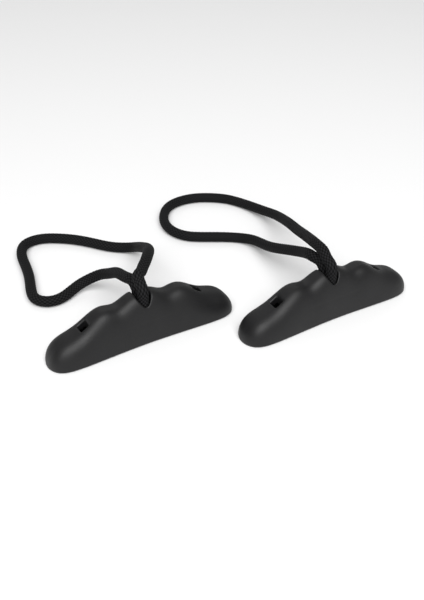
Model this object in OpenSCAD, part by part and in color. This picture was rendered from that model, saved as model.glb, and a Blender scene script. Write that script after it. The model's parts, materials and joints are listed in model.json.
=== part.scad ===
// A pair of T-shaped carry handles, each a moulded finger grip on a loop of braided cord.
// The pair lies on a flat surface, z = 0. X runs along both grips, Y points to the cord loops.

/* [Grip] */
// Length of a grip from end to end
grip_len = 140; // [136:0.5:144]
// Width of a grip across the underside
grip_w = 29.5; // [29:0.25:31]
// Height of the middle bump above the flat underside
grip_h = 36.5; // [36:0.25:37]
// Depth of the two inner finger grooves
inner_groove = 4.5; // [2:0.1:6]
// Depth of the two outer finger grooves
outer_groove = 5.6; // [2:0.1:6]
// How much narrower the grip is at the middle bump, on each side
waist = 2.4; // [0:0.1:2.4]

/* [Openings] */
// Width of the cord slot along the grip
cord_slot_w = 10.5; // [9.5:0.1:12]
// Length of the cord slot across the grip
cord_slot_l = 17.25; // [17.25:0.25:18]
// Distance of each strap slot from the middle of the grip
strap_slot_x = 42.5; // [41:0.5:44]
// Width of a strap slot along the grip
strap_slot_w = 6; // [5:0.25:8]
// Length of a strap slot across the grip
strap_slot_l = 7; // [6:0.25:9]
// Height of the ceiling of the knot pocket
knot_pocket_h = 23; // [23:0.25:24]
// Half of the width of every pocket in the underside
pocket_half_w = 10.5; // [10.5:0.1:10.8]

/* [Cord] */
// Diameter of the braided cord
cord_d = 8; // [7.5:0.1:8]
// Distance between the two legs of a loop where they pass through the grip
leg_gap = 8.4; // [8.4:0.1:8.6]

/* [Layout] */
// Distance of each grip from the middle of the pair, along the grips
place_x = 62; // [62:0.25:63]
// Distance of each grip from the middle of the pair, across the grips
place_y = 21.5; // [21.5:0.25:23]

/* [Hidden] */

MOULDED = [0.09, 0.09, 0.09];
BRAID = [0.03, 0.03, 0.03];
MELTED = [0.05, 0.05, 0.05];

LEFT = [-place_x, place_y, 0];
RIGHT = [place_x, -place_y, 0];

// Grip: stations along the length and points around each section
half_len = grip_len / 2;
half_w = grip_w / 2;
end_angle = 86;
stations = 64;
top_steps = 22;
edge_steps = 3;
edge_w = 1.5;
edge_h = 1.5;
groove_at = [18.3, 47.5];
groove_width = [8.4, 14];
waist_width = 44;
plan_power = 11.8;
side_power = 2.9;
crown_power = 2.25;

// Pockets in the underside; the roof of an end pocket is a list of places along X and heights
knot_pocket_half = 29;
knot_roof_low = 17;
knot_roof_half_w = 6.5;
pocket_corner = 3;
end_pocket_roof = [[61, 8.5], [58, 11.5], [47, 16.3], [40, 18.8], [32, 22]];
end_pocket_half_w = 9.5;
strap_slot_low = 10;

// Loop of cord: the pivot is the middle of the tight bend above the cord slot
cord_r = cord_d / 2;
leg_y = leg_gap / 2;
bend_r = leg_y + cord_r;
pivot_z = 37.7;
lean = 60;
bend_gap = 0.4;
sides = 12;

// Knot and tails
knot_r = 8.1;
knot_spread = [7, 2.1];
knot_z = 8.6;
leg_foot = 12;
tail_x = [8, 23];
tail_y = 4.8;
tail_z = 4.6;
sealed_len = 2;
sealed_edge = 0.8;
sealed_swell = 0.2;

// Route of each loop, from the upper leg at the bend, round the loop, to the lower leg
LEFT_ROUTE = [
    [-61.6, 22, 42.7], [-61, 25.5, 45], [-57, 29.5, 45], [-53.3, 33.5, 45.3],
    [-49.1, 38.2, 45.5], [-44.7, 44.1, 44.7], [-39.5, 52.1, 42.4], [-34, 62.4, 37.5],
    [-29.4, 73.9, 31.5], [-25.5, 87.5, 23.9], [-21.5, 102.5, 15.2], [-20, 113.5, 9],
    [-23.5, 122.5, 5], [-32, 130.5, 4], [-41.5, 142, 4], [-52, 155, 4], [-65, 166, 4],
    [-78, 172, 4], [-90, 170, 4], [-97.5, 159, 4], [-101, 143, 4], [-105, 123, 4],
    [-110.5, 104.5, 4], [-111, 93.5, 4], [-105, 86.5, 4], [-96, 85.5, 4], [-86.5, 89, 4.5],
    [-78.5, 91, 6.5], [-70.4, 88.8, 10.4], [-64.2, 82.6, 15.6], [-61.8, 73, 21.1],
    [-61.3, 60.8, 28.5], [-62.3, 47.9, 33.8], [-62.5, 39, 36.8], [-62.2, 34, 38.2],
    [-62, 30, 37.8]];
RIGHT_ROUTE = [
    [61.9, -19.3, 43.8], [62.8, -14.5, 46.1], [63.8, -9, 46.4], [65.9, -0.2, 44.9],
    [70.6, 11.6, 40.7], [75.4, 24.8, 36.2], [80.8, 38.9, 30.9], [87.5, 57.5, 25],
    [94, 76.5, 18.5], [98, 94.5, 13], [99, 110.5, 8.5], [98, 125.5, 5.5], [94, 140.5, 4],
    [87.5, 151.5, 4], [77, 161, 4], [65, 167.5, 4], [51.5, 169.5, 4], [38.5, 166, 4],
    [28, 156, 4], [21.5, 142.5, 4], [20.5, 129, 4], [26, 116, 4], [36.5, 107.5, 4],
    [49.5, 99.5, 4], [60.5, 91.5, 4], [66.5, 80.5, 6], [67, 66, 9.5], [65.2, 49.3, 15.4],
    [64.8, 33, 22.3], [64.7, 17.2, 29], [62.8, 3.9, 35], [61, -3, 37.7], [60.8, -8, 38.4],
    [61.8, -13, 37.8]];

// ---- Grip ----

function groove(x, i) = exp(-pow((abs(x) - groove_at[i]) / groove_width[i], 2));

// Place, height of the crest and half width of the underside at the station at angle t
function place_along(t) = half_len * sin(t) / sin(end_angle);
function crest(t) = let (x = place_along(t))
    grip_h * cos(t) - inner_groove * groove(x, 0) - outer_groove * groove(x, 1);
function half_width(t) = let (x = place_along(t))
    half_w * sqrt(1 - pow(abs(sin(t)), plan_power)) - waist * exp(-pow(x / waist_width, 2));

// One section: over the crown from -Y to +Y, then round the two lower edges
function section(t) = let (
        x = place_along(t), h = crest(t), b = half_width(t),
        ew = min(edge_w, b / 2), eh = min(edge_h, h / 2),
        crown = [for (i = [0 : top_steps]) let (v = 180 * i / top_steps - 90)
            [x, b * sign(v) * pow(abs(sin(v)), 2 / side_power),
             eh + (h - eh) * pow(abs(cos(v)), 2 / crown_power)]],
        edge = [for (i = [1 : edge_steps]) let (v = 90 * i / edge_steps)
            [b - ew + ew * cos(v), eh - eh * sin(v)]])
    concat(crown,
        [for (i = [0 : edge_steps - 1]) [x, edge[i][0], edge[i][1]]],
        [for (i = [edge_steps - 1 : -1 : 0]) [x, -edge[i][0], edge[i][1]]]);

// Faces that join equal rings of points into one closed tube
function skin(rings, n) = concat(
    [[for (k = [n - 1 : -1 : 0]) k]],
    [for (i = [0 : rings - 2], k = [0 : n - 1])
        [i * n + k, i * n + (k + 1) % n, (i + 1) * n + (k + 1) % n, (i + 1) * n + k]],
    [[for (k = [0 : n - 1]) (rings - 1) * n + k]]);

module grip_body() {
    rings = [for (i = [0 : stations]) section(-end_angle + 2 * end_angle * i / stations)];
    polyhedron([for (r = rings) each r], skin(len(rings), len(rings[0])), convexity = 6);
}

// Upright slot with round ends, its length along Y
module cord_slot(low, high) {
    end_r = cord_slot_w / 2;
    end_y = cord_slot_l / 2 - end_r;
    translate([-end_r, -end_y, low]) cube([cord_slot_w, 2 * end_y, high - low]);
    for (y = [-end_y, end_y])
        translate([0, y, low]) cylinder(h = high - low, r = end_r, $fn = 48);
}

// Pocket for the knot: a block with four round corners, its ceiling sloping down at both sides
module knot_pocket() {
    a = knot_pocket_half;
    b = pocket_half_w;
    c = pocket_corner;
    h = knot_pocket_h;
    intersection() {
        union() {
            translate([-a, -b + c, -1]) cube([2 * a, 2 * (b - c), h + 2]);
            translate([-a + c, -b, -1]) cube([2 * (a - c), 2 * b, h + 2]);
            for (x = [-a + c, a - c], y = [-b + c, b - c])
                translate([x, y, -1]) cylinder(h = h + 2, r = c, $fn = 32);
        }
        translate([-a - 1, 0, 0]) rotate([90, 0, 90]) linear_extrude(2 * a + 2)
            polygon([[-b, -2], [b, -2], [b, knot_roof_low], [knot_roof_half_w, h],
                     [-knot_roof_half_w, h], [-b, knot_roof_low]]);
    }
}

// Pocket under a finger groove, its ceiling sloping down towards the end of the grip
module end_pocket() {
    roof = end_pocket_roof;
    last = len(roof) - 1;
    translate([0, end_pocket_half_w, 0]) rotate([90, 0, 0])
        linear_extrude(2 * end_pocket_half_w)
            polygon(concat([[roof[last][0], -1], [roof[0][0], -1]], roof));
}

module strap_slot() {
    translate([strap_slot_x - strap_slot_w / 2, -strap_slot_l / 2, strap_slot_low])
        cube([strap_slot_w, strap_slot_l, grip_h]);
}

module grip(place) {
    color(MOULDED) translate(place) difference() {
        grip_body();
        knot_pocket();
        cord_slot(knot_roof_low, grip_h + 1);
        for (m = [0, 1]) mirror([m, 0, 0]) {
            end_pocket();
            strap_slot();
        }
    }
}

// ---- Cord ----

function unit(v) = v / norm(v);

// Direction of a route at its point i, and the ring of points round it there
function heading(route, i) = let (a = max(i - 1, 0), b = min(i + 1, len(route) - 1))
    unit(route[b] - route[a]);
function ring(route, i) = let (
        ahead = heading(route, i), side = unit(cross(ahead, [0, 0, 1])), up = cross(side, ahead))
    [for (k = [0 : sides - 1]) let (v = 360 * (k + 0.5) / sides)
        route[i] + cord_r / cos(180 / sides) * (cos(v) * side + sin(v) * up)];

module tube(route) {
    rings = [for (i = [0 : len(route) - 1]) ring(route, i)];
    polyhedron([for (r = rings) each r], skin(len(rings), sides), convexity = 8);
}

// Tight bend of the cord over itself, a round-edged disc that turns about X
module bend() {
    rotate([0, 90, 0]) rotate_extrude($fn = 64) {
        translate([leg_y, 0]) circle(r = cord_r, $fn = 40);
        translate([0, -cord_r]) square([leg_y, cord_d]);
    }
}

// Both ends of a loop start inside its bend, at right angles to the lean of the legs
module loop(place, route) {
    pivot = place + [0, 0, pivot_z];
    across = leg_y * [0, -cos(lean), sin(lean)];
    color(BRAID) {
        tube(concat([pivot + across], route, [pivot - across]));
        translate(pivot) bend();
    }
}

// Space that the bend and the cord beside it sweep as a loop turns from one lean to the other
module swept_space() {
    r = bend_r + bend_gap;
    translate([-cord_d, 0, pivot_z]) {
        rotate([0, 90, 0]) cylinder(h = 2 * cord_d, r = r, $fn = 96);
        for (turn = [90 - lean, 90 + lean])
            rotate([turn, 0, 0]) translate([0, 0, -r]) cube([2 * cord_d, 2 * cord_d, 2 * r]);
    }
}

// The two upright legs, cut away at the top to clear the loop as it turns
module legs(place) {
    color(BRAID) translate(place) difference() {
        for (y = [-leg_y, leg_y])
            translate([0, y, leg_foot]) cylinder(h = pivot_z - leg_foot, r = cord_r, $fn = 40);
        swept_space();
    }
}

module knot(place) {
    color(BRAID) translate(place) {
        hull() for (x = [-1, 1], y = [-1, 1])
            translate([x * knot_spread[0], y * knot_spread[1], knot_z])
                sphere(r = knot_r, $fn = 24);
        for (y = [-tail_y, tail_y])
            translate([tail_x[0], y, tail_z]) rotate([0, 90, 0])
                cylinder(h = tail_x[1] - tail_x[0], r = cord_r, $fn = 40);
    }
}

// Melted bead that seals each end of the cord
module sealed_ends(place) {
    color(MELTED) translate(place) for (y = [-tail_y, tail_y])
        translate([tail_x[1], y, tail_z]) rotate([0, 90, 0]) rotate_extrude($fn = 48)
            polygon([[0, 0], [cord_r, 0], [cord_r + sealed_swell, sealed_len / 2],
                     [cord_r - sealed_edge, sealed_len], [0, sealed_len]]);
}

grip(LEFT);  // left_grip
loop(LEFT, LEFT_ROUTE);  // left_cord_loop
legs(LEFT);  // left_cord_legs
knot(LEFT);  // left_knot
sealed_ends(LEFT);  // left_sealed_ends
grip(RIGHT);  // right_grip
loop(RIGHT, RIGHT_ROUTE);  // right_cord_loop
legs(RIGHT);  // right_cord_legs
knot(RIGHT);  // right_knot
sealed_ends(RIGHT);  // right_sealed_ends
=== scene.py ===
"""A pair of black moulded carry handles on braided cord loops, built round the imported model."""
import json
import math

import bpy
import numpy as np
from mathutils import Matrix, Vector


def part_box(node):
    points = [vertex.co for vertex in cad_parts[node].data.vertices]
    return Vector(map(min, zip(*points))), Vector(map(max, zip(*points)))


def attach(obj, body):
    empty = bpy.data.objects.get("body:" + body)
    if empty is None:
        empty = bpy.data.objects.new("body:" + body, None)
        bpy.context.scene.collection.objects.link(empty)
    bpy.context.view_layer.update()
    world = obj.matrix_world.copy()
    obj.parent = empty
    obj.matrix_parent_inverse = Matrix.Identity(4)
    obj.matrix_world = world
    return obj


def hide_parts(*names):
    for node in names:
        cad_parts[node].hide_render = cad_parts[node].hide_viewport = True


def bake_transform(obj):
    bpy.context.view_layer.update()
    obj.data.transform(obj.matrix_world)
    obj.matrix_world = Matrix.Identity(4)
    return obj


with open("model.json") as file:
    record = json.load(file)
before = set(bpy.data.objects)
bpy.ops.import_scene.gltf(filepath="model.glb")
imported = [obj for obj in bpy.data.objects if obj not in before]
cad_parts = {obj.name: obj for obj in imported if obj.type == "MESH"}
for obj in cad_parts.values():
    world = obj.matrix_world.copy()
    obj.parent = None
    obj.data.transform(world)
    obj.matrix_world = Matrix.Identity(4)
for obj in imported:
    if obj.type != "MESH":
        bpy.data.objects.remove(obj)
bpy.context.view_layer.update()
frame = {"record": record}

MM = 0.001

# ---------------------------------------------------------------- places and sizes, in millimetres

SIDES = ("left", "right")


def middle(node):
    """The middle of a CAD node's box in plan, in millimetres."""
    low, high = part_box(node)
    return np.array([(low[0] + high[0]) / 2, (low[1] + high[1]) / 2, 0.0]) / MM


PLACE = {side: middle(f"{side}_grip") for side in SIDES}

# Outer shape of a grip, as the part's source has it
GRIP_LEN = (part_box("left_grip")[1][0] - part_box("left_grip")[0][0]) / MM
GRIP_W = 29.5
GRIP_H = 36.5
GROOVES = ((18.3, 8.4, 4.5), (47.5, 14.0, 5.6))   # place, width and depth of each
WAIST, WAIST_W = 2.4, 44.0
PLAN_POWER, SIDE_POWER, CROWN_POWER = 11.8, 2.9, 2.25
EDGE_W, EDGE_H = 1.5, 1.5
END_ANGLE = math.radians(86)

# Pockets and slots of a grip: half length, half width and corner radius in plan
KNOT_POCKET = (29, 10.5, 3)
KNOT_ROOF = ((6.5, 10.5), (23, 17))               # places across the grip, and heights there
END_POCKET_X, END_POCKET = 46.5, (14.5, 9.5, 2)
END_ROOF = ((32, 40, 47, 58, 61), (22, 18.8, 16.3, 11.5, 8.5))    # places along it, and heights
STRAP_SLOT_X, STRAP_SLOT_LOW, STRAP_SLOT = 42.5, 10, (3, 3.5, 0.6)
CORD_SLOT_LOW, CORD_SLOT = 17, (5.25, 8.625, 5.2)
RIM_ROUND = 1.6       # rounding where a pocket or slot breaks the outer shape
NET_STEP = 0.6        # spacing of the points on a grip

# Cord, knot and ends
CORD_D = 8.0
LEG_Y = 4.2
PIVOT_Z = frame["record"]["behaviour"]["joints"][1]["pos_m"][2] / MM
LEAN = math.radians(60)
LEG_FOOT = 12.0
KNOT_X, KNOT_LEN, KNOT_Z = -10.5, 20, 8.6         # start, length and height of the barrel
KNOT_ACROSS, KNOT_UP = 6.4, 4.4                   # reach of its turns across and up
KNOT_TURN, KNOT_STEPS = 3 * math.pi, 24
KNOT_CORD_R = 3.75                                # the cord is squeezed in the knot
TAIL_Y, TAIL_Z = 4.8, 4.6
TAIL = ((14, 5.2), (18, TAIL_Z), (23.2, TAIL_Z))  # places along X and heights
# Outline of a melted end: how far along it, 0 to 1, and the radius there
BEAD = ((0.0, 3.7), (0.12, 4.0), (0.3, 4.15), (0.5, 4.1), (0.68, 3.85), (0.82, 3.3), (0.92, 2.4),
        (0.98, 1.2), (1.0, 0.4))
BEAD_POINTS = 48

ROUTES = {
    "left": [
        (-61.6, 22, 42.7), (-61, 25.5, 45), (-57, 29.5, 45), (-53.3, 33.5, 45.3),
        (-49.1, 38.2, 45.5), (-44.7, 44.1, 44.7), (-39.5, 52.1, 42.4), (-34, 62.4, 37.5),
        (-29.4, 73.9, 31.5), (-25.5, 87.5, 23.9), (-21.5, 102.5, 15.2), (-20, 113.5, 9),
        (-23.5, 122.5, 5), (-32, 130.5, 4), (-41.5, 142, 4), (-52, 155, 4), (-65, 166, 4),
        (-78, 172, 4), (-90, 170, 4), (-97.5, 159, 4), (-101, 143, 4), (-105, 123, 4),
        (-110.5, 104.5, 4), (-111, 93.5, 4), (-105, 86.5, 4), (-96, 85.5, 4),
        (-86.5, 89, 4.5), (-78.5, 91, 6.5), (-70.4, 88.8, 10.4), (-64.2, 82.6, 15.6),
        (-61.8, 73, 21.1), (-61.3, 60.8, 28.5), (-62.3, 47.9, 33.8), (-62.5, 39, 36.8),
        (-62.2, 34, 38.2), (-62, 30, 37.8)],
    "right": [
        (61.9, -19.3, 43.8), (62.8, -14.5, 46.1), (63.8, -9, 46.4), (65.9, -0.2, 44.9),
        (70.6, 11.6, 40.7), (75.4, 24.8, 36.2), (80.8, 38.9, 30.9), (87.5, 57.5, 25),
        (94, 76.5, 18.5), (98, 94.5, 13), (99, 110.5, 8.5), (98, 125.5, 5.5), (94, 140.5, 4),
        (87.5, 151.5, 4), (77, 161, 4), (65, 167.5, 4), (51.5, 169.5, 4), (38.5, 166, 4),
        (28, 156, 4), (21.5, 142.5, 4), (20.5, 129, 4), (26, 116, 4), (36.5, 107.5, 4),
        (49.5, 99.5, 4), (60.5, 91.5, 4), (66.5, 80.5, 6), (67, 66, 9.5), (65.2, 49.3, 15.4),
        (64.8, 33, 22.3), (64.7, 17.2, 29), (62.8, 3.9, 35), (61, -3, 37.7),
        (60.8, -8, 38.4), (61.8, -13, 37.8)],
}


# ---------------------------------------------------------------- camera

VIEW_TURN, VIEW_RISE = math.radians(-31.1), math.radians(35)
VIEW_DISTANCE = 0.6211
VIEW_TARGET = (0.0003, 0.0318, 0)
VIEW_LENS = 50.96


def add_camera():
    """The photograph's viewing angle: 31 degrees round to the left and 35 degrees up."""
    back = Vector((math.sin(VIEW_TURN) * math.cos(VIEW_RISE),
                   -math.cos(VIEW_TURN) * math.cos(VIEW_RISE), math.sin(VIEW_RISE)))
    data = bpy.data.cameras.new("camera")
    data.sensor_width = 36
    data.lens = VIEW_LENS
    data.clip_start = 0.01
    camera = bpy.data.objects.new("camera", data)
    bpy.context.scene.collection.objects.link(camera)
    camera.location = Vector(VIEW_TARGET) + VIEW_DISTANCE * back
    camera.rotation_euler = back.to_track_quat("Z", "Y").to_euler()
    bpy.context.scene.camera = camera


# ---------------------------------------------------------------- meshes

def mesh_object(name, points, faces):
    """A smooth mesh object from points in millimetres and faces."""
    mesh = bpy.data.meshes.new(name)
    mesh.from_pydata((np.asarray(points) * MM).tolist(), [], [list(map(int, f)) for f in faces])
    mesh.shade_smooth()
    mesh.validate()
    piece = bpy.data.objects.new(name, mesh)
    bpy.context.scene.collection.objects.link(piece)
    return piece


def tube_faces(n, k):
    """Faces that join n rings of k points into a closed tube."""
    i, j = np.meshgrid(np.arange(n - 1), np.arange(k), indexing="ij")
    sides = np.stack([i * k + j, i * k + (j + 1) % k, (i + 1) * k + (j + 1) % k,
                      (i + 1) * k + j], axis=-1).reshape(-1, 4)
    return sides.tolist() + [list(range(k - 1, -1, -1)), list(range((n - 1) * k, n * k))]


# ---------------------------------------------------------------- cord

BRAID_COUNT = 10      # strands that wind each way round the cord
BRAID_PITCH = 2.9     # length of cord from one crossing to the next
BRAID_RELIEF = 0.46   # height of a strand above the gaps between strands
STRAND_WIDTH = 1.8    # how quickly a strand falls off to its sides
STRAND_MEAN, STRAND_DIP = 0.62, 0.38    # its height on average, and its rise and fall
RING_POINTS = 80
RING_STEP = 0.36


def spline(points, step):
    """Points step apart along a natural cubic spline through the given points."""
    p = np.array(points, float)
    chord = np.linalg.norm(np.diff(p, axis=0), axis=1)
    t = np.concatenate([[0], np.cumsum(chord)])
    n = len(p)
    a = np.zeros((n, n))
    rhs = np.zeros((n, 3))
    a[0, 0] = a[-1, -1] = 1
    for i in range(1, n - 1):
        a[i, i - 1:i + 2] = chord[i - 1], 2 * (chord[i - 1] + chord[i]), chord[i]
        rhs[i] = 6 * ((p[i + 1] - p[i]) / chord[i] - (p[i] - p[i - 1]) / chord[i - 1])
    m = np.linalg.solve(a, rhs)
    fine = np.linspace(0, t[-1], int(t[-1] / 0.1))
    i = np.clip(np.searchsorted(t, fine, side="right") - 1, 0, n - 2)
    h, u = chord[i][:, None], (fine - t[i])[:, None]
    w = h - u
    q = (m[i] * w ** 3 + m[i + 1] * u ** 3) / (6 * h) \
        + (p[i] / h - m[i] * h / 6) * w + (p[i + 1] / h - m[i + 1] * h / 6) * u
    along = np.concatenate([[0], np.cumsum(np.linalg.norm(np.diff(q, axis=0), axis=1))])
    at = np.linspace(0, along[-1], int(round(along[-1] / step)) + 1)
    return np.stack([np.interp(at, along, q[:, k]) for k in range(3)], axis=1)


def cross_directions(line):
    """Two directions that cross a line at each point, carried along it without twisting."""
    ahead = np.gradient(line, axis=0)
    ahead /= np.linalg.norm(ahead, axis=1)[:, None]
    side = np.zeros_like(ahead)
    side[0] = np.cross(ahead[0], [1, 0.2, 0.1])
    for i in range(len(line)):
        s = side[max(i - 1, 0)] - np.dot(side[max(i - 1, 0)], ahead[i]) * ahead[i]
        side[i] = s / np.linalg.norm(s)
    return side, np.cross(ahead, side)


def braid_relief(turn, along):
    """Height, 0 to 1, of a plain over-and-under braid at an angle round the cord and a length."""
    a = turn * BRAID_COUNT / (2 * math.pi) + along / BRAID_PITCH
    b = -turn * BRAID_COUNT / (2 * math.pi) + along / BRAID_PITCH
    over_a = (np.floor(a) + np.floor(b)) % 2 == 0
    fa, fb = a - np.floor(a) - 0.5, b - np.floor(b) - 0.5
    across = np.where(over_a, fa, fb)
    length = np.where(over_a, fb, fa)
    crown = np.sqrt(np.clip(1 - (STRAND_WIDTH * across) ** 2, 0.05, 1))
    return crown * (STRAND_MEAN + STRAND_DIP * np.cos(math.pi * length))


def braided_tube(name, line, radius):
    """A closed tube round a line, with a braid in relief and that relief as an attribute."""
    side, up = cross_directions(line)
    along = np.arange(len(line)) * np.linalg.norm(np.diff(line, axis=0), axis=1).mean()
    turn = np.arange(RING_POINTS) * 2 * math.pi / RING_POINTS
    t, s = np.meshgrid(turn, along)
    relief = braid_relief(t, s)
    r = radius - BRAID_RELIEF + BRAID_RELIEF * relief
    points = line[:, None, :] + r[..., None] * (
        np.cos(t)[..., None] * side[:, None, :] + np.sin(t)[..., None] * up[:, None, :])
    piece = mesh_object(name, points.reshape(-1, 3), tube_faces(len(line), RING_POINTS))
    attribute = piece.data.attributes.new("relief", "FLOAT", "POINT")
    attribute.data.foreach_set("value", relief.reshape(-1).astype(np.float32))
    return piece


def cord_line(side):
    """The whole visible cord: up the front leg, over the bend, round the loop, down the rear leg."""
    x, y, _ = PLACE[side]
    pivot = np.array([x, y, PIVOT_Z])
    front = [(x, y - LEG_Y, z) for z in (LEG_FOOT, 18, 24, 30, 35)]
    for angle in (175, 148):
        v = math.radians(angle)
        front.append((x, y + LEG_Y * math.cos(v), PIVOT_Z + LEG_Y * math.sin(v)))
    front.append(tuple(pivot + LEG_Y * np.array([0, -math.cos(LEAN), math.sin(LEAN)])))
    rear = [(x, y + 5.6, PIVOT_Z - 2), (x, y + 4.4, 34)]
    rear += [(x, y + LEG_Y, z) for z in (29, 23, 17, LEG_FOOT)]
    return spline(front + ROUTES[side] + rear, RING_STEP)


def add_cord(side):
    """One length of braided cord, curved over above the cord slot into its loop."""
    line = cord_line(side)
    piece = braided_tube(f"{side}_braided_cord", line, CORD_D / 2)
    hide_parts(f"{side}_cord_loop", f"{side}_cord_legs")
    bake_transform(piece)
    return piece


# ---------------------------------------------------------------- knot

def add_knot(side):
    """Both ends wound round together in a barrel, with two tails that run on towards +X."""
    x, y, _ = PLACE[side]
    pieces = []
    for k in range(2):
        turns = []
        for step in range(KNOT_STEPS + 1):
            f = step / KNOT_STEPS
            v = math.pi * k + KNOT_TURN * f
            turns.append((x + KNOT_X + KNOT_LEN * f, y + KNOT_ACROSS * math.sin(v),
                          KNOT_Z + KNOT_UP * math.cos(v)))
        out = TAIL_Y if k else -TAIL_Y
        tail = [(x + at, y + out, z) for at, z in TAIL]
        piece = braided_tube(f"{side}_knot_end_{k + 1}", spline(turns + tail, RING_STEP),
                             KNOT_CORD_R)
        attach(piece, f"{side}_cord")
        pieces.append(piece)
    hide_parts(f"{side}_knot")
    return pieces


def add_beads(side):
    """The melted ends of the two tails: a slightly swollen, uneven rim round a domed middle."""
    low, high = (np.array(c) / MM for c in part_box(f"{side}_sealed_ends"))
    around = np.arange(BEAD_POINTS) * 2 * math.pi / BEAD_POINTS
    pieces = []
    for k, sign in enumerate((-1, 1)):
        centre = PLACE[side] + (0, sign * TAIL_Y, TAIL_Z)
        rings = []
        for along, radius in BEAD:
            uneven = 1 - 0.02 * (1 + np.sin(3 * around + 2 * k) * np.cos(2 * around + along))
            r = radius * uneven
            x = np.full(BEAD_POINTS, low[0] + along * (high[0] - low[0]))
            rings.append(np.stack([x, centre[1] + r * np.cos(around),
                                   centre[2] + r * np.sin(around)], axis=1))
        piece = mesh_object(f"{side}_melted_end_{k + 1}", np.concatenate(rings),
                            tube_faces(len(rings), BEAD_POINTS))
        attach(piece, f"{side}_cord")
        pieces.append(piece)
    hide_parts(f"{side}_sealed_ends")
    return pieces


# ---------------------------------------------------------------- grip

def smooth_max(a, b, blend):
    """The larger of two distances, rounded over where they are within blend of each other."""
    h = np.clip(1 - np.abs(a - b) / blend, 0, 1)
    return np.maximum(a, b) + blend * h * h / 4


def body_value(x, y, z):
    """Below 0 inside the outer shape of a grip, above 0 outside."""
    reach = np.clip(np.abs(x) * math.sin(END_ANGLE) / (GRIP_LEN / 2), 0, 0.9999)
    height = GRIP_H * np.sqrt(1 - reach ** 2)
    for at, width, depth in GROOVES:
        height = height - depth * np.exp(-((np.abs(x) - at) / width) ** 2)
    half = GRIP_W / 2 * np.sqrt(1 - reach ** PLAN_POWER) - WAIST * np.exp(-(x / WAIST_W) ** 2)
    edge_w, edge_h = np.minimum(EDGE_W, half / 2), np.minimum(EDGE_H, height / 2)
    across = np.abs(y)
    rise = np.clip(z - edge_h, 0, None) / (height - edge_h)
    crown = (across / half) ** SIDE_POWER + rise ** CROWN_POWER - 1
    u = np.clip((across - half + edge_w) / edge_w, 0, None)
    w = (edge_h - z) / edge_h
    foot = u ** 2 + w ** 2 - 1
    return np.where(z > edge_h, crown, foot)


def body_distance(x, y, z):
    """Roughly how far a point is outside the outer shape of a grip."""
    value, tiny = body_value(x, y, z), 0.05
    steps = ((tiny, 0, 0), (0, tiny, 0), (0, 0, tiny))
    slope = np.sqrt(sum(
        ((body_value(x + i, y + j, z + k) - body_value(x - i, y - j, z - k)) / (2 * tiny)) ** 2
        for i, j, k in steps))
    ends = np.abs(x) - GRIP_LEN / 2
    return np.maximum(np.clip(value / np.maximum(slope, 0.02), -6, 6), ends)


def round_box(x, y, half_x, half_y, corner):
    """Distance in plan from a rectangle with round corners."""
    dx, dy = np.abs(x) - half_x + corner, np.abs(y) - half_y + corner
    outside = np.hypot(np.clip(dx, 0, None), np.clip(dy, 0, None))
    return outside + np.minimum(np.maximum(dx, dy), 0) - corner


def grip_distance(p):
    """Distance outside a finished grip: its outer shape less its slots and pockets, edges rounded."""
    x, y, z = p[..., 0], p[..., 1], p[..., 2]
    ax = np.abs(x)
    knot_roof = np.interp(np.abs(y), *KNOT_ROOF)
    knot_pocket = smooth_max(round_box(x, y, *KNOT_POCKET), (z - knot_roof) * 0.8, 1.5)
    end_roof = np.interp(ax, *END_ROOF)
    end_pocket = smooth_max(round_box(ax - END_POCKET_X, y, *END_POCKET),
                            (z - end_roof) * 0.85, 2)
    strap_slot = smooth_max(round_box(ax - STRAP_SLOT_X, y, *STRAP_SLOT), STRAP_SLOT_LOW - z, 1)
    cord_slot = smooth_max(round_box(x, y, *CORD_SLOT), CORD_SLOT_LOW - z, 1)
    solid = smooth_max(smooth_max(-knot_pocket, -cord_slot, 1.5),
                       smooth_max(-end_pocket, -strap_slot, 1.2), 0.5)
    return smooth_max(body_distance(x, y, z), solid, RIM_ROUND)


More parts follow.
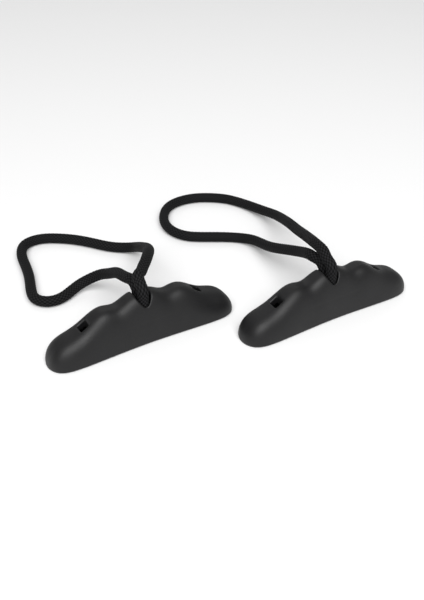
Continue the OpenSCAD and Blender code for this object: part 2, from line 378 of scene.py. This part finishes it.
def surface_net(distance, low, high, step):
    """A closed quad mesh of the surface where distance is 0, then moved exactly onto it."""
    axes = [np.arange(a - 1.5 * step, b + 1.5 * step, step) for a, b in zip(low, high)]
    grid = np.stack(np.meshgrid(*axes, indexing="ij"), axis=-1)
    value = distance(grid)
    inside = value < 0
    shape = np.array(value.shape)
    total, count = np.zeros((*(shape - 1), 3)), np.zeros(shape - 1)

    def corner(of, c):
        return of[c[0]:shape[0] - 1 + c[0], c[1]:shape[1] - 1 + c[1], c[2]:shape[2] - 1 + c[2]]

    # A point in each cell that the surface crosses: the mean of where it crosses the cell's edges
    for c in [(i, j, k) for i in (0, 1) for j in (0, 1) for k in (0, 1)]:
        for axis in range(3):
            if c[axis]:
                continue
            d = tuple(c[n] + (n == axis) for n in range(3))
            v0, v1 = corner(value, c), corner(value, d)
            cross = corner(inside, c) != corner(inside, d)
            f = np.where(cross, v0 / np.where(cross, v0 - v1, 1), 0)[..., None]
            total += cross[..., None] * (corner(grid, c) * (1 - f) + corner(grid, d) * f)
            count += cross
    used = count > 0
    number = np.full(used.shape, -1)
    number[used] = np.arange(used.sum())
    points = total[used] / count[used][:, None]

    # A quad round each edge of the grid that the surface crosses
    quads = []
    for axis in range(3):
        u, v = (axis + 1) % 3, (axis + 2) % 3
        near = np.moveaxis(inside, (axis, u, v), (0, 1, 2))
        cell = np.moveaxis(number, (axis, u, v), (0, 1, 2))
        first, second = near[:-1, 1:-1, 1:-1], near[1:, 1:-1, 1:-1]
        four = [cell[:, :-1, :-1], cell[:, 1:, :-1], cell[:, 1:, 1:], cell[:, :-1, 1:]]
        for out, order in ((first & ~second, (0, 1, 2, 3)), (~first & second, (3, 2, 1, 0))):
            quads.append(np.stack([four[n][out] for n in order], axis=-1))

    for _ in range(3):
        tiny = 0.02
        here = distance(points)
        slope = np.stack([(distance(points + tiny * e) - distance(points - tiny * e)) / (2 * tiny)
                          for e in np.eye(3)], axis=-1)
        move = np.clip(here / np.maximum((slope ** 2).sum(1), 0.2), -0.3, 0.3)
        points -= move[:, None] * slope
    return points, np.concatenate(quads)


def add_grips():
    """The same moulding twice."""
    points, quads = surface_net(grip_distance, (-GRIP_LEN / 2, -GRIP_W / 2, 0),
                                (GRIP_LEN / 2, GRIP_W / 2, GRIP_H), NET_STEP)
    pieces = []
    for side in SIDES:
        piece = mesh_object(f"{side}_moulded_grip", points + PLACE[side], quads)
        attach(piece, f"{side}_handle")
        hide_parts(f"{side}_grip")
        pieces.append(piece)
    return pieces


# ---------------------------------------------------------------- materials

def material(name, base, roughness):
    """A new material, its node tree and its shader."""
    m = bpy.data.materials.new(name)
    m.use_nodes = True
    shader = m.node_tree.nodes["Principled BSDF"]
    shader.inputs["Base Color"].default_value = (*base, 1)
    shader.inputs["Roughness"].default_value = roughness
    return m, m.node_tree, shader


def noise(tree, scale, detail):
    """A noise texture in the object's own coordinates."""
    coordinate = tree.nodes.new("ShaderNodeTexCoord")
    node = tree.nodes.new("ShaderNodeTexNoise")
    node.inputs["Scale"].default_value = scale
    node.inputs["Detail"].default_value = detail
    tree.links.new(coordinate.outputs["Object"], node.inputs["Vector"])
    return node


def plastic():
    """Black moulding with a fine grain, its gloss slightly uneven."""
    m, tree, shader = material("moulded_plastic", (0.005, 0.005, 0.0054), 0.5)
    fine = noise(tree, 1000, 3)
    broad = noise(tree, 60, 4)
    bump = tree.nodes.new("ShaderNodeBump")
    bump.inputs["Strength"].default_value = 0.5
    bump.inputs["Distance"].default_value = 0.0002
    tree.links.new(fine.outputs["Fac"], bump.inputs["Height"])
    tree.links.new(bump.outputs["Normal"], shader.inputs["Normal"])
    spread = tree.nodes.new("ShaderNodeMapRange")
    spread.inputs["To Min"].default_value = 0.38
    spread.inputs["To Max"].default_value = 0.62
    tree.links.new(broad.outputs["Fac"], spread.inputs["Value"])
    tree.links.new(spread.outputs["Result"], shader.inputs["Roughness"])
    shader.inputs["Specular IOR Level"].default_value = 0.34
    return m


def braid():
    """Dull black fibre, with painted shade that darkens it in the gaps between strands."""
    m, tree, shader = material("braided_cord", (0.006, 0.006, 0.006), 0.6)
    relief = tree.nodes.new("ShaderNodeAttribute")
    relief.attribute_name = "relief"
    # Painted shade: the colour falls from the fibre's black on the strand crowns to near black in the
    # gaps, following the relief
    gap_shade = tree.nodes.new("ShaderNodeValToRGB")
    gap, crown = gap_shade.color_ramp.elements
    gap.position, gap.color = 0.5, (0.0008, 0.0008, 0.0008, 1)
    crown.position, crown.color = 0.95, (0.018, 0.018, 0.019, 1)
    tree.links.new(relief.outputs["Fac"], gap_shade.inputs["Fac"])
    tree.links.new(gap_shade.outputs["Color"], shader.inputs["Base Color"])
    shader.inputs["Specular IOR Level"].default_value = 0.03
    shader.inputs["Sheen Weight"].default_value = 0.01
    shader.inputs["Sheen Roughness"].default_value = 0.5
    return m


def melted():
    """Fibre melted to a glossy bead."""
    return material("melted_cord", (0.012, 0.012, 0.012), 0.25)[0]


def dress(pieces, m):
    for piece in pieces:
        piece.data.materials.clear()
        piece.data.materials.append(m)


# ---------------------------------------------------------------- studio

LIGHT_TARGET = (0, 0.05, 0)
FLOOR_Z = -0.0002     # just below the grips, so that their undersides don't share its plane


def area_light(name, place, size, power):
    data = bpy.data.lights.new(name, "AREA")
    data.shape = "RECTANGLE"
    data.size, data.size_y = size
    data.energy = power
    light = bpy.data.objects.new(name, data)
    bpy.context.scene.collection.objects.link(light)
    light.location = place
    away = Vector(place) - Vector(LIGHT_TARGET)
    light.rotation_euler = away.to_track_quat("Z", "Y").to_euler()


def add_studio():
    """A pale floor, a broad soft light in front, a weak one behind and an even white sky."""
    bpy.ops.mesh.primitive_plane_add(size=8, location=(0, 0, FLOOR_Z))
    floor = bpy.context.object
    floor.name = "floor"
    m, _, shader = material("pale_floor", (0.8, 0.8, 0.8), 0.7)
    shader.inputs["Specular IOR Level"].default_value = 0.1
    floor.data.materials.append(m)
    area_light("key", (-0.6, -1.1, 1.6), (2.2, 1.6), 62)
    area_light("back", (0.5, 1.5, 1.3), (1.8, 0.8), 4)
    world = bpy.data.worlds.new("studio")
    bpy.context.scene.world = world
    world.use_nodes = True
    sky = world.node_tree.nodes["Background"]
    sky.inputs["Color"].default_value = (1, 1, 1, 1)
    sky.inputs["Strength"].default_value = 0.4
    bpy.context.scene.view_settings.view_transform = "Standard"


# ---------------------------------------------------------------- everything, the cords first

add_camera()
cords = [add_cord(side) for side in SIDES]
knots = [piece for side in SIDES for piece in add_knot(side)]
beads = [piece for side in SIDES for piece in add_beads(side)]
grips = add_grips()
dress(cords + knots, braid())
dress(grips, plastic())
dress(beads, melted())
add_studio()
